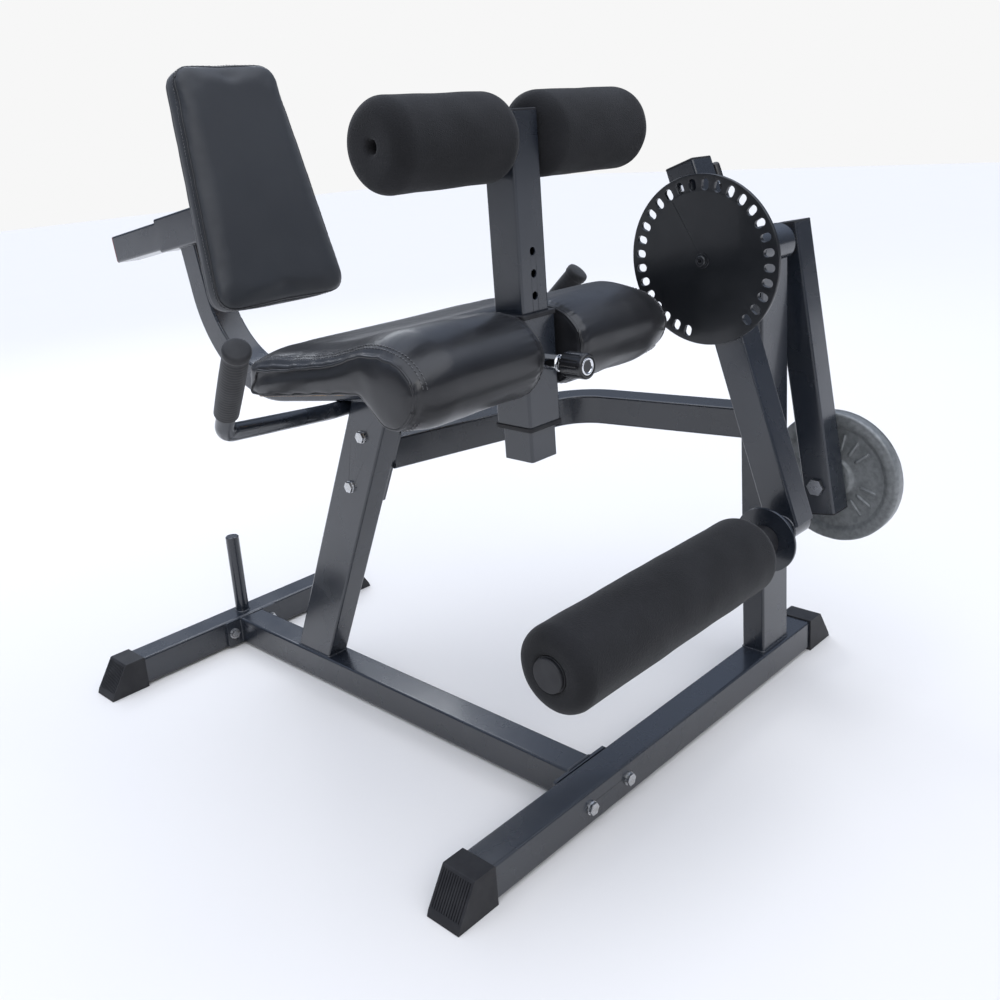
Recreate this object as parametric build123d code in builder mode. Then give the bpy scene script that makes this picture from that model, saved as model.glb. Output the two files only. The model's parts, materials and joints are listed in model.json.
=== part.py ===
"""Plate-loaded leg extension machine, modelled piece by piece.

Millimetres, +Z up.  The origin is on the floor under the middle of the machine.
The user sits facing -Y; the index disc, upright and weight arm are on the +X side.
"""
from build123d import *
from math import cos, hypot, radians, sin
import os

# ---------------------------------------------------------------- driving dimensions
seat_x = -177.5            # centre plane of the base rail, seat and roller post
front_y = -470.0           # centre line of the front crossbar
rear_y = 408.0             # centre line of the rear crossbar
bar = 50.0                 # square tube of the base, beam and leg arm
bar_z = 29.0               # centre height of the base tubes
wall = 3.0                 # wall of every steel tube
round_edge = 4.0           # outside corner radius of the steel tubes

front_bar_left = 234.0     # seat_x to the left end of the front crossbar
front_bar_right = 573.0    # seat_x to its right end
rear_bar_half = 226.0      # seat_x to either end of the rear crossbar
flange_width = 112.0       # rail flange plates
flange_thick = 5.0
flange_bolt_x = 42.0       # base bolts, each side of the rail
cap_top = 34.0             # end cap, length of its top past the tube
cap_foot = 68.0            # end cap, length of its sole past the tube
cap_width = 56.0
cap_height = 57.0

peg_r = 12.5               # storage peg and weight peg, for plates with a 25 mm bore
storage_peg_height = 154.0

post_lean = 25.5           # lean of the seat post, from vertical
post_depth = 80.0          # seat post, section along the lean
post_width = 40.0
post_bolt_heights = (482.0, 393.0)
post_flange_thick = 6.0    # flange of the cross beam, on the seat post's right side
post_foot_y = 151.6        # centre of its foot, on the rail
seat_slope = 7.46          # seat and beam, front higher than rear
beam_front_y = -357.0      # beam's front end, on the roller post sleeve
beam_front_z = 605.0       # centre of the beam there
back_lean = 12.8           # lean of the upper part of the bent seat frame
back_foot_y = 354.0        # seat frame centre line, its upper straight at height 681
back_foot_z = 681.0
frame_bend = 190.0         # bend radius of the seat frame's centre line

slide_slope = 9.54         # back slide tube, rear end lower
slide_y = 462.0            # a point on the slide tube's centre line
slide_z = 781.5
receiver_outer = 60.0
receiver_length = 140.0
slide_front_y = 234.0
slide_rear_y = 638.0
hole_pitch_back = 25.0

pad_lean = 14.36           # back pad
pad_foot_y = 120.0         # bottom of the back pad's face
pad_foot_z = 684.0
pad_length = 383.0
pad_half_foot = 125.0
pad_half_head = 92.0
pad_thick = 50.0
board_thick = 13.0

post_y = -387.0            # centre line of the roller post
sleeve_outer = 60.0
sleeve_bottom = 551.0
sleeve_top = 692.0
roller_post_bottom = 502.0
roller_post_top = 945.0
hole_pitch_post = 28.0
height_pin_z = 635.0
thigh_z = 916.0            # thigh roller axle
thigh_inner = 29.0         # from seat_x to each thigh roller's inner end
thigh_outer = 225.0
foam_r = 54.0
thigh_axle_r = 8.0

pivot_y = -467.0           # main shaft
pivot_z = 724.0
shaft_r = 12.5
upright_width = 80.0       # along X
upright_depth = 40.0
upright_x = seat_x + 469.0
housing_r = 30.0

disc_x = seat_x + 298.0    # outer face of the index disc
disc_thick = 6.0
disc_r = 122.0
slot_ring_r = 107.0
slot_pitch = 11.25         # degrees between neighbouring slots
slot_width = 11.5
slot_length = 16.5
selector_angle = 71.0      # slot that the selector pin rests in, from +Y
slots_before = 13          # slots below the selector, towards the seat
slots_after = 14           # slots ahead of the selector
leg_angle = -107.7         # leg arm, from +Y
ankle_reach = 404.0        # shaft to ankle roller
ankle_tube_r = 19.0
ankle_left = -214.0        # ankle tube, from seat_x
weight_angle = -98.6       # weight arm, from +Y
weight_reach = 404.0       # shaft to weight peg
weight_arm_x = seat_x + 555.0
weight_peg_end = seat_x + 692.0
plate_r = 112.0
plate_thick = 26.0

beam_z = 445.0             # cross beam, centre height
bar_r = 12.5               # handlebar
grip_r = 16.0
grip_length = 136.0

pin_r = 5.0                # spring pins
pin_hole_r = 5.1
pin_housing_r = 11.0
knob_r = 16.5
bolt_r = 5.0
bolt_hole_r = 5.25
hex_flat = 16.0            # across flats
head_height = 6.4
nut_height = 8.0

os.makedirs("parts", exist_ok=True)


def save(part, name):
    """Label a finished piece and write it to its own STEP file."""
    part.label = name
    export_step(part, "parts/" + name + ".step")


def along(angle, distance, y=0.0, z=0.0):
    """Point in the YZ plane at a distance and an angle from +Y."""
    return y + distance * cos(radians(angle)), z + distance * sin(radians(angle))


def plane_x(x, y=0.0, z=0.0):
    """Plane facing +X, with its local x along +Y and local y along +Z."""
    return Plane(origin=(x, y, z), x_dir=(0, 1, 0), z_dir=(1, 0, 0))


def plane_y(x, y, z):
    """Plane facing -Y, with its local x along +X and local y along +Z."""
    return Plane(origin=(x, y, z), x_dir=(1, 0, 0), z_dir=(0, -1, 0))


def square_tube(plane, width, depth, length, thick=wall):
    """Hollow rectangular tube that starts on a plane and runs along its normal."""
    with BuildPart() as tube:
        with BuildSketch(plane):
            RectangleRounded(width, depth, round_edge)
            RectangleRounded(width - 2 * thick, depth - 2 * thick, round_edge - thick * 0.8,
                             mode=Mode.SUBTRACT)
        extrude(amount=length)
    return tube.part


def rod(plane, radius, length, bore=0.0):
    """Round bar or tube that starts on a plane and runs along its normal."""
    with BuildPart() as bar_part:
        with BuildSketch(plane):
            Circle(radius)
            if bore > 0:
                Circle(bore, mode=Mode.SUBTRACT)
        extrude(amount=length)
    return bar_part.part


def group(parts):
    """Several separate solids as one node."""
    return Compound(children=[solid for part in parts for solid in part.solids()])


# ---------------------------------------------------------------- base
def drilled_bar(x_start, x_end, y):
    """Crossbar along X with two bolt holes through it, front to back."""
    with BuildPart() as crossbar:
        add(square_tube(plane_x(x_start, y, bar_z), bar, bar, x_end - x_start))
        for side in (-1, 1):
            with BuildSketch(plane_y(seat_x + side * flange_bolt_x, y + bar, bar_z)):
                Circle(bolt_hole_r)
            extrude(amount=2 * bar, mode=Mode.SUBTRACT)
    return crossbar.part


def end_cap(x_end, side, y):
    """Moulded foot that plugs a crossbar and reaches the floor with a slanted, ribbed end."""
    skirt = 2.0
    with BuildPart() as cap:
        with BuildSketch(Plane.XZ.offset(-y - cap_width / 2)):
            with BuildLine():
                Polyline(
                    (x_end - side * skirt, 0),
                    (x_end + side * cap_foot, 0),
                    (x_end + side * (cap_foot - 3), 8),
                    (x_end + side * cap_top, cap_height),
                    (x_end - side * skirt, cap_height),
                    close=True,
                )
            make_face()
        extrude(amount=cap_width)
        fillet(cap.edges().filter_by(Axis.Y).group_by(Axis.Z)[-1], 2.5)
        # the skirt leaves room for the tube itself
        with BuildSketch(plane_x(x_end - side * skirt, y, bar_z)):
            RectangleRounded(bar + 0.2, bar + 0.2, round_edge)
        extrude(amount=side * skirt, mode=Mode.SUBTRACT)
        with BuildSketch(plane_x(x_end, y, bar_z)):
            RectangleRounded(bar - 2 * wall - 0.4, bar - 2 * wall - 0.4, 1.0)
        extrude(amount=-side * 22)
        # fine ribs up the slanted end
        run = cap_foot - 3 - cap_top
        rise = cap_height - 8
        slant = hypot(run, rise)
        end_plane = Plane(
            origin=(x_end + side * (cap_foot - 3 - run / 2), y, 8 + rise / 2),
            x_dir=(0, 1, 0),
            z_dir=(side * rise / slant, 0, run / slant),
        )
        with BuildSketch(end_plane):
            with GridLocations(4.2, 1, 12, 1):
                Rectangle(1.7, slant - 9)
        extrude(amount=-1.2, mode=Mode.SUBTRACT)
    return cap.part


def rail_flange(y):
    """Plate welded to a rail end, with two bolt holes."""
    with BuildPart() as plate:
        with BuildSketch(plane_y(seat_x, y, bar_z)):
            RectangleRounded(flange_width, bar, 4)
            with Locations((-flange_bolt_x, 0), (flange_bolt_x, 0)):
                Circle(bolt_hole_r, mode=Mode.SUBTRACT)
        extrude(amount=flange_thick)
    return plate.part


def hex_bolt(plane, grip):
    """Hexagon bolt whose head stands on the plane and whose shank runs back through it."""
    with BuildPart() as bolt:
        with BuildSketch(plane):
            RegularPolygon(hex_flat / 2, 6, major_radius=False)
        extrude(amount=head_height)
        with BuildSketch(plane):
            Circle(hex_flat * 0.62)
        extrude(amount=1.5)
        with BuildSketch(plane):
            Circle(bolt_r)
        extrude(amount=-(grip + nut_height + 3))
        chamfer(bolt.faces().sort_by(Axis(plane.origin, tuple(plane.z_dir)))[0].edges(), 1)
    return bolt.part


def lock_nut(plane):
    """Hexagon lock nut with a domed collar, standing on the plane."""
    with BuildPart() as nut:
        with BuildSketch(plane):
            RegularPolygon(hex_flat / 2, 6, major_radius=False)
        extrude(amount=nut_height - 2)
        with BuildSketch(plane.offset(nut_height - 2)):
            Circle(hex_flat * 0.42)
        extrude(amount=2)
        with BuildSketch(plane):
            Circle(bolt_r + 0.05)
        extrude(amount=nut_height, mode=Mode.SUBTRACT)
    return nut.part


save(drilled_bar(seat_x - front_bar_left, seat_x + front_bar_right, front_y), "front_crossbar")
save(drilled_bar(seat_x - rear_bar_half, seat_x + rear_bar_half, rear_y), "rear_crossbar")
save(group([
    end_cap(seat_x - front_bar_left, -1, front_y),
    end_cap(seat_x + front_bar_right, 1, front_y),
    end_cap(seat_x - rear_bar_half, -1, rear_y),
    end_cap(seat_x + rear_bar_half, 1, rear_y),
]), "end_caps")

rail_start = front_y + bar / 2 + flange_thick
rail_end = rear_y - bar / 2 - flange_thick
rail_plane = Plane(origin=(seat_x, rail_start, bar_z), x_dir=(1, 0, 0), z_dir=(0, 1, 0))
save(square_tube(rail_plane, bar, bar, rail_end - rail_start), "base_rail")
save(group([rail_flange(rail_start), rail_flange(rear_y - bar / 2)]), "rail_flanges")

with BuildPart() as storage_peg:
    with BuildSketch(Plane((seat_x, rear_y, bar_z + bar / 2))):
        Circle(peg_r)
    extrude(amount=storage_peg_height)
    chamfer(storage_peg.faces().sort_by(Axis.Z)[-1].edges(), 1.5)
save(storage_peg.part, "storage_peg")

# ---------------------------------------------------------------- seat post
post_slope = sin(radians(post_lean)) / cos(radians(post_lean))
rail_top = bar_z + bar / 2
beam_drop = sin(radians(seat_slope)) / cos(radians(seat_slope))
half_beam = bar / 2 / cos(radians(seat_slope))


def beam_height(y):
    """Height of the seat beam's centre line."""
    return beam_front_z - beam_drop * (y - beam_front_y)


def post_centre(z):
    """Y of the seat post's centre line at a height."""
    return post_foot_y - post_slope * (z - rail_top)


def post_outline(depth):
    """Side outline of the seat post, from the rail up to the underside of the beam."""
    half = depth / 2 / cos(radians(post_lean))
    corners = []
    for offset in (-half, half):
        # where this edge meets the beam's underside
        top = (beam_height(0) - half_beam - beam_drop * (post_foot_y + offset)
               - beam_drop * post_slope * rail_top) / (1 - beam_drop * post_slope)
        corners.append(((post_foot_y + offset, rail_top), (post_centre(top) + offset, top)))
    (front_foot, front_head), (rear_foot, rear_head) = corners
    return [front_foot, rear_foot, rear_head, front_head]


with BuildPart() as seat_post:
    with BuildSketch(plane_x(seat_x - post_width / 2)):
        Polygon(*post_outline(post_depth), align=None)
    extrude(amount=post_width)
    fillet(seat_post.edges().filter_by(lambda e: abs(e.tangent_at(0).Z) > 0.8), round_edge)
    with BuildSketch(plane_x(seat_x - post_width / 2 + wall)):
        Polygon(*post_outline(post_depth - 2 * wall), align=None)
    extrude(amount=post_width - 2 * wall, mode=Mode.SUBTRACT)
    for bolt_z in post_bolt_heights:
        with BuildSketch(plane_x(seat_x - post_width, post_centre(bolt_z), bolt_z)):
            Circle(bolt_hole_r)
        extrude(amount=2 * post_width, mode=Mode.SUBTRACT)
save(seat_post.part, "seat_post")

# ---------------------------------------------------------------- cross beam to the upright
# plan of the beam's centre line: seat post, bend, back of the upright
beam_start = (seat_x + post_width / 2 + post_flange_thick, -45.8)
beam_corner = (seat_x + 401.4, -133.8)
beam_end = (seat_x + 459.0, pivot_y + upright_depth / 2)
beam_bend = 95.0
with BuildPart() as cross_beam:
    with BuildLine(Plane.XY.offset(beam_z)) as beam_path:
        FilletPolyline(beam_start, beam_corner, beam_end, radius=beam_bend)
    first = beam_path.wires()[0]
    beam_section = Plane(origin=first @ 0, x_dir=(0, 0, 1), z_dir=first % 0)
    with BuildSketch(beam_section):
        RectangleRounded(bar, bar, round_edge)
        RectangleRounded(bar - 2 * wall, bar - 2 * wall, round_edge - wall * 0.8,
                         mode=Mode.SUBTRACT)
    sweep(path=first)
    # trim both ends flush with the flange and the upright
    with BuildSketch(plane_x(beam_start[0], beam_start[1], beam_z)):
        Rectangle(3 * bar, 3 * bar)
    extrude(amount=-bar, mode=Mode.SUBTRACT)
    with BuildSketch(plane_y(beam_end[0], beam_end[1], beam_z)):
        Rectangle(3 * bar, 3 * bar)
    extrude(amount=bar, mode=Mode.SUBTRACT)
    # flange plate against the seat post, leaning with it
    flange_middle = sum(post_bolt_heights) / 2
    flange_plane = Plane(
        origin=(beam_start[0], post_centre(flange_middle), flange_middle),
        x_dir=(0, cos(radians(post_lean)), sin(radians(post_lean))),
        z_dir=(-1, 0, 0),
    )
    with BuildSketch(flange_plane):
        RectangleRounded(74, 140, 6)
    extrude(amount=post_flange_thick)
    for bolt_z in post_bolt_heights:
        with BuildSketch(plane_x(seat_x, post_centre(bolt_z), bolt_z)):
            Circle(bolt_hole_r)
        extrude(amount=40, mode=Mode.SUBTRACT)
save(cross_beam.part, "cross_beam")

# bolts of the base and of the seat post, all with their heads forward or to the left
bolts = []
nuts = []
for side in (-1, 1):
    bolt_x = seat_x + side * flange_bolt_x
    grip = bar + flange_thick
    for head_y in (front_y - bar / 2, rear_y - bar / 2 - flange_thick):
        bolts.append(hex_bolt(plane_y(bolt_x, head_y, bar_z), grip))
        nut_plane = Plane(origin=(bolt_x, head_y + grip, bar_z), x_dir=(1, 0, 0), z_dir=(0, 1, 0))
        nuts.append(lock_nut(nut_plane))
for bolt_z in post_bolt_heights:
    head = Plane(origin=(seat_x - post_width / 2, post_centre(bolt_z), bolt_z),
                 x_dir=(0, 1, 0), z_dir=(-1, 0, 0))
    bolts.append(hex_bolt(head, post_width + post_flange_thick))
    nuts.append(lock_nut(plane_x(beam_start[0], post_centre(bolt_z), bolt_z)))
save(group(bolts), "frame_bolts")
save(group(nuts), "frame_nuts")

# ---------------------------------------------------------------- seat frame and back receiver
back_tan = sin(radians(back_lean)) / cos(radians(back_lean))
slide_tan = sin(radians(slide_slope)) / cos(radians(slide_slope))


def slide_height(y):
    """Height of the back slide tube's centre line."""
    return slide_z - slide_tan * (y - slide_y)


corner_y = (back_foot_y + back_tan * (beam_front_z + beam_drop * beam_front_y - back_foot_z)) / (
    1 + back_tan * beam_drop)
corner = (corner_y, beam_height(corner_y))
frame_top_z = 775.0
with BuildPart() as seat_frame:
    with BuildLine(plane_x(seat_x)) as frame_path:
        FilletPolyline(
            (beam_front_y, beam_front_z),
            corner,
            (back_foot_y + back_tan * (frame_top_z - back_foot_z), frame_top_z),
            radius=frame_bend,
        )
    path = frame_path.wires()[0]
    with BuildSketch(Plane(origin=path @ 0, x_dir=(1, 0, 0), z_dir=path % 0)):
        RectangleRounded(bar, bar, round_edge)
        RectangleRounded(bar - 2 * wall, bar - 2 * wall, round_edge - wall * 0.8,
                         mode=Mode.SUBTRACT)
    sweep(path=path)
    # square the front end against the sleeve and the top against the receiver
    with BuildSketch(plane_y(seat_x, beam_front_y, beam_front_z)):
        Rectangle(3 * bar, 3 * bar)
    extrude(amount=bar, mode=Mode.SUBTRACT)
    receiver_dir = (0, cos(radians(slide_slope)), -sin(radians(slide_slope)))
    receiver_up = (0, sin(radians(slide_slope)), cos(radians(slide_slope)))
    under = Plane(
        origin=Vector(seat_x, slide_y, slide_z) - Vector(*receiver_up) * (receiver_outer / 2),
        x_dir=(1, 0, 0),
        z_dir=receiver_up,
    )
    with BuildSketch(under):
        Rectangle(4 * bar, 8 * bar)
    extrude(amount=3 * bar, mode=Mode.SUBTRACT)
save(seat_frame.part, "seat_frame")


def slide_plane(distance):
    """Plane across the slide tube, a distance ahead of the receiver's rear end."""
    origin = Vector(seat_x, slide_y, slide_z) - Vector(*receiver_dir) * distance
    return Plane(origin=origin, x_dir=(1, 0, 0), z_dir=receiver_dir)


back_pin_at = 70.0         # ahead of the receiver's rear end
back_pin_point = slide_plane(back_pin_at).origin
with BuildPart() as back_receiver:
    with BuildSketch(slide_plane(receiver_length)):
        RectangleRounded(receiver_outer, receiver_outer, round_edge)
        RectangleRounded(bar + 1.6, bar + 1.6, round_edge, mode=Mode.SUBTRACT)
    extrude(amount=receiver_length)
    with BuildSketch(plane_x(seat_x, back_pin_point.Y, back_pin_point.Z)):
        Circle(pin_hole_r)
    extrude(amount=receiver_outer, mode=Mode.SUBTRACT)
save(back_receiver.part, "back_receiver")

slide_front = (slide_y - slide_front_y) / cos(radians(slide_slope))
slide_rear = (slide_rear_y - slide_y) / cos(radians(slide_slope))
pad_dir = Vector(0, sin(radians(pad_lean)), cos(radians(pad_lean)))
pad_back = Vector(0, cos(radians(pad_lean)), -sin(radians(pad_lean)))


def pad_plane(depth, height=0.0):
    """Plane parallel to the back pad's face, a depth behind it, normal to the rear."""
    origin = Vector(seat_x, pad_foot_y, pad_foot_z) + pad_back * depth + pad_dir * height
    return Plane(origin=origin, x_dir=(-1, 0, 0), z_dir=pad_back)


back_plate_thick = 5.0
plate_back = pad_plane(pad_thick + back_plate_thick)
with BuildPart() as back_slide_tube:
    add(square_tube(slide_plane(slide_front + 40), bar, bar, slide_front + 40 + slide_rear))
    # front end cut to the angle of the back plate
    with BuildSketch(plate_back):
        Rectangle(800, 1600)
    extrude(amount=-120, mode=Mode.SUBTRACT)
    for hole in range(-2, 5):
        point = slide_plane(back_pin_at - hole * hole_pitch_back).origin
        with BuildSketch(plane_x(seat_x, point.Y, point.Z)):
            Circle(pin_hole_r)
        extrude(amount=receiver_outer, mode=Mode.SUBTRACT)
save(back_slide_tube.part, "back_slide_tube")

with BuildPart() as slide_tube_plug:
    with BuildSketch(slide_plane(-slide_rear)):
        RectangleRounded(bar, bar, round_edge)
    extrude(amount=2.0)
    with BuildSketch(slide_plane(-slide_rear)):
        RectangleRounded(bar - 2 * wall - 0.4, bar - 2 * wall - 0.4, 1)
    extrude(amount=-16)
    with BuildSketch(slide_plane(-slide_rear - 2)):
        RectangleRounded(bar - 14, bar - 14, 3)
    extrude(amount=-12, mode=Mode.SUBTRACT)
save(slide_tube_plug.part, "slide_tube_plug")

# ---------------------------------------------------------------- back pad
tube_height = 148.0        # along the pad, from its foot to the slide tube
screw_grid = [(x, tube_height + z) for x in (-45, 45) for z in (-55, 55)]
with BuildPart() as back_plate:
    with BuildSketch(pad_plane(pad_thick, tube_height)):
        RectangleRounded(120, 150, 10)
        with GridLocations(90, 110, 2, 2):
            Circle(3.3, mode=Mode.SUBTRACT)
    extrude(amount=back_plate_thick)
save(back_plate.part, "back_plate")


def pad_outline(inset, corner_radius):
    """Tapered outline of the back pad in the pad's own plane."""
    with BuildSketch() as outline:
        Polygon(
            (-pad_half_foot + inset, inset),
            (pad_half_foot - inset, inset),
            (pad_half_head - inset, pad_length - inset),
            (-pad_half_head + inset, pad_length - inset),
            align=None,
        )
        fillet(outline.vertices(), corner_radius)
    return outline.sketch


board_inset = 14.0
with BuildPart() as back_board:
    with BuildSketch(pad_plane(pad_thick - board_thick)):
        add(pad_outline(board_inset, 16))
        for x, height in screw_grid:
            with Locations((x, height)):
                Circle(2.6, mode=Mode.SUBTRACT)
    extrude(amount=board_thick)
save(back_board.part, "back_board")

with BuildPart() as back_pad:
    with BuildSketch(pad_plane(0)):
        add(pad_outline(0, 28))
    extrude(amount=pad_thick)
    fillet(back_pad.faces().sort_by(Axis.Y)[0].edges(), 12)
    with BuildSketch(pad_plane(pad_thick - board_thick - 0.3)):
        add(pad_outline(board_inset - 0.3, 16.3))
    extrude(amount=board_thick + 2, mode=Mode.SUBTRACT)
save(back_pad.part, "back_pad")


def pan_screw(plane, length, radius=2.5):
    """Pan head screw with a cross recess, head on the plane, shank running back through it."""
    with BuildPart() as screw:
        with BuildSketch(plane):
            Circle(6.5)
        extrude(amount=3.2)
        fillet(screw.edges().group_by(Axis(plane.origin, tuple(plane.z_dir)))[-1], 2)
        with BuildSketch(plane.offset(3.2)):
            Rectangle(6, 1.2)
            Rectangle(1.2, 6)
        extrude(amount=-1.6, mode=Mode.SUBTRACT)
        with BuildSketch(plane):
            Circle(radius)
        extrude(amount=-length)
    return screw.part


back_screws = [
    pan_screw(Plane(origin=pad_plane(pad_thick + back_plate_thick, height).origin + Vector(x, 0, 0),
                    x_dir=(1, 0, 0), z_dir=pad_back), back_plate_thick + board_thick - 2)
    for x, height in screw_grid
]
save(group(back_screws), "back_pad_screws")

# ---------------------------------------------------------------- seat pad, board and brackets
seat_cos = cos(radians(seat_slope))
seat_sin = sin(radians(seat_slope))
bracket_thick = 5.0


def seat_plane(y, depth=0.0):
    """Plane on top of the seat brackets at a Y, normal upwards and square to the seat."""
    lift = bar / 2 + bracket_thick + depth
    origin = Vector(seat_x, y, beam_height(y)) + Vector(0, seat_sin, seat_cos) * lift
    return Plane(origin=origin, x_dir=(1, 0, 0), z_dir=(0, seat_sin, seat_cos))


seat_half = 246.0
seat_rear = -86.0          # rear edge of the seat pad
board_front = -316.0
board_rear = -102.0
bracket_places = (-284.0, -144.0)
bracket_half = 150.0
seat_screw_x = (-120.0, 120.0)
with BuildPart() as seat_brackets:
    for place in bracket_places:
        with BuildSketch(seat_plane(place, -bracket_thick)):
            RectangleRounded(2 * bracket_half, 44, 6)
            with Locations(*[(x, 0) for x in seat_screw_x]):
                Circle(3.3, mode=Mode.SUBTRACT)
        extrude(amount=bracket_thick)
save(seat_brackets.part, "seat_brackets")

board_middle = (board_front + board_rear) / 2
board_depth = (board_rear - board_front) / seat_cos
with BuildPart() as seat_board:
    with BuildSketch(seat_plane(board_middle)):
        RectangleRounded(2 * seat_half - 30, board_depth, 24)
        for place in bracket_places:
            for x in seat_screw_x:
                with Locations((x, (place - board_middle) / seat_cos)):
                    Circle(2.6, mode=Mode.SUBTRACT)
    extrude(amount=board_thick)
save(seat_board.part, "seat_board")

seat_screws = [
    pan_screw(Plane(origin=seat_plane(place, -bracket_thick).origin + Vector(x, 0, 0),
                    x_dir=(1, 0, 0), z_dir=(0, -seat_sin, -seat_cos)),
              bracket_thick + board_thick - 2)
    for place in bracket_places
    for x in seat_screw_x
]
save(group(seat_screws), "seat_screws")


def seat_under(y):
    """Underside of the seat pad, level with the top of the brackets."""
    return beam_height(y) + (bar / 2 + bracket_thick) / seat_cos


roll_front = -457.0        # front of the thigh roll
roll_bottom = 592.0
notch_half = 35.0
notch_rear = post_y + sleeve_outer / 2 + 12
with BuildPart() as seat_pad:
    with BuildSketch(plane_x(seat_x - seat_half)):
        with BuildLine():
            rear_foot = (seat_rear, seat_under(seat_rear))
            lip = (notch_rear - 1, seat_under(notch_rear - 1))
            Line(rear_foot, lip)
            Line(lip, (-378, roll_bottom + 4))
            Spline(
                (-378, roll_bottom + 4), (-409, roll_bottom), (-449, 625), (roll_front, 657),
                (-434, 690), (-389, 704), (-334, 696), (-244, 676), (-144, 664),
                (seat_rear - 14, 655),
            )
            Line((seat_rear - 14, 655), (seat_rear, 642))
            Line((seat_rear, 642), rear_foot)
        make_face()
    extrude(amount=2 * seat_half)
    corner_edges = seat_pad.edges().filter_by(Axis.Z).group_by(Axis.Y)[-1]
    fillet(corner_edges, 45)
    # notch for the roller post sleeve
    with BuildSketch(Plane.XY.offset(500)):
        with Locations((seat_x, (roll_front - 20 + notch_rear) / 2)):
            Rectangle(2 * notch_half, notch_rear - roll_front + 20)
    extrude(amount=300, mode=Mode.SUBTRACT)
    # pocket for the board
    with BuildSketch(seat_plane(board_middle, -8)):
        RectangleRounded(2 * seat_half - 29.4, board_depth + 0.6, 24.3)
    extrude(amount=board_thick + 8.3, mode=Mode.SUBTRACT)
save(seat_pad.part, "seat_pad")

# ---------------------------------------------------------------- handlebar and grips
grip_top = Vector(320.0, -221.0, 697.0)      # from seat_x
grip_foot = Vector(284.0, -100.0, 563.0)
bar_middle_y = -5.0
bar_middle_z = beam_height(bar_middle_y) - (bar / 2 + bar_r) / cos(radians(seat_slope))


def handle_point(side, point):
    """A handlebar point on the left or right of the seat."""
    return (seat_x + side * point.X, point.Y, point.Z)


grip_unit = (grip_top - grip_foot).normalized()
tube_end = grip_top - grip_unit * 5
with BuildPart() as handlebar:
    with BuildLine() as bar_path:
        FilletPolyline(
            handle_point(-1, tube_end),
            handle_point(-1, grip_foot),
            (seat_x - 40, bar_middle_y, bar_middle_z),
            (seat_x + 40, bar_middle_y, bar_middle_z),
            handle_point(1, grip_foot),
            handle_point(1, tube_end),
            radius=42,
        )
    handle_wire = bar_path.wires()[0]
    with BuildSketch(Plane(origin=handle_wire @ 0, z_dir=handle_wire % 0)):
        Circle(bar_r)
        Circle(bar_r - 2, mode=Mode.SUBTRACT)
    sweep(path=handle_wire)
save(handlebar.part, "handlebar")


def hand_grip(side):
    """Rubber grip with shallow rings and a wider closed end."""
    direction = Vector(side * grip_unit.X, grip_unit.Y, grip_unit.Z)
    top = Vector(*handle_point(side, grip_top))
    base = Plane(origin=top - direction * grip_length, z_dir=direction)
    with BuildPart() as grip:
        with BuildSketch(base):
            Circle(grip_r)
        extrude(amount=grip_length - 6)
        with BuildSketch(base.offset(grip_length - 7)):
            Circle(grip_r + 1.8)
        extrude(amount=7)
        fillet(grip.faces().sort_by(Axis(base.origin, tuple(direction)))[-1].edges(), 2)
        with BuildSketch(base):
            Circle(bar_r + 0.05)
        extrude(amount=grip_length - 4.9, mode=Mode.SUBTRACT)
    return grip.part


save(hand_grip(-1), "grip_left")
save(hand_grip(1), "grip_right")

# ---------------------------------------------------------------- roller post and its sleeve
with BuildPart() as roller_post_sleeve:
    with BuildSketch(Plane((seat_x, post_y, sleeve_bottom))):
        RectangleRounded(sleeve_outer, sleeve_outer, round_edge)
        RectangleRounded(sleeve_outer - 2 * wall, sleeve_outer - 2 * wall, 2, mode=Mode.SUBTRACT)
    extrude(amount=sleeve_top - sleeve_bottom)
    with BuildSketch(plane_y(seat_x, post_y, height_pin_z)):
        Circle(pin_hole_r)
    extrude(amount=sleeve_outer, mode=Mode.SUBTRACT)
save(roller_post_sleeve.part, "roller_post_sleeve")


def sleeve_bush(edge_z, direction):
    """Plastic bush that lines one end of the sleeve, with a lip outside it."""
    mouth = Plane(origin=(seat_x, post_y, edge_z), x_dir=(1, 0, 0), z_dir=(0, 0, direction))
    with BuildPart() as bush:
        with BuildSketch(mouth):
            RectangleRounded(sleeve_outer + 4, sleeve_outer + 4, 5)
        extrude(amount=6)
        fillet(bush.edges().group_by(Axis.Z)[-1 if direction > 0 else 0], 1.5)
        with BuildSketch(mouth):
            RectangleRounded(sleeve_outer - 2 * wall - 0.1, sleeve_outer - 2 * wall - 0.1, 2)
        extrude(amount=-30)
        with BuildSketch(mouth.offset(-31)):
            RectangleRounded(bar + 0.8, bar + 0.8, round_edge)
        extrude(amount=40, mode=Mode.SUBTRACT)
    return bush.part


save(group([sleeve_bush(sleeve_top, 1), sleeve_bush(sleeve_bottom, -1)]), "sleeve_bushes")

with BuildPart() as roller_post:
    with BuildSketch(Plane((seat_x, post_y, roller_post_bottom))):
        RectangleRounded(bar, bar, round_edge)
        RectangleRounded(bar - 2 * wall, bar - 2 * wall, round_edge - wall * 0.8,
                         mode=Mode.SUBTRACT)
    extrude(amount=roller_post_top - roller_post_bottom)
    for hole in range(-2, 6):
        with BuildSketch(plane_y(seat_x, post_y, height_pin_z + hole * hole_pitch_post)):
            Circle(pin_hole_r)
        extrude(amount=bar, mode=Mode.SUBTRACT)
    with BuildSketch(plane_x(seat_x - bar, post_y, thigh_z)):
        Circle(thigh_axle_r + 0.05)
    extrude(amount=2 * bar, mode=Mode.SUBTRACT)
save(roller_post.part, "roller_post")


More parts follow.
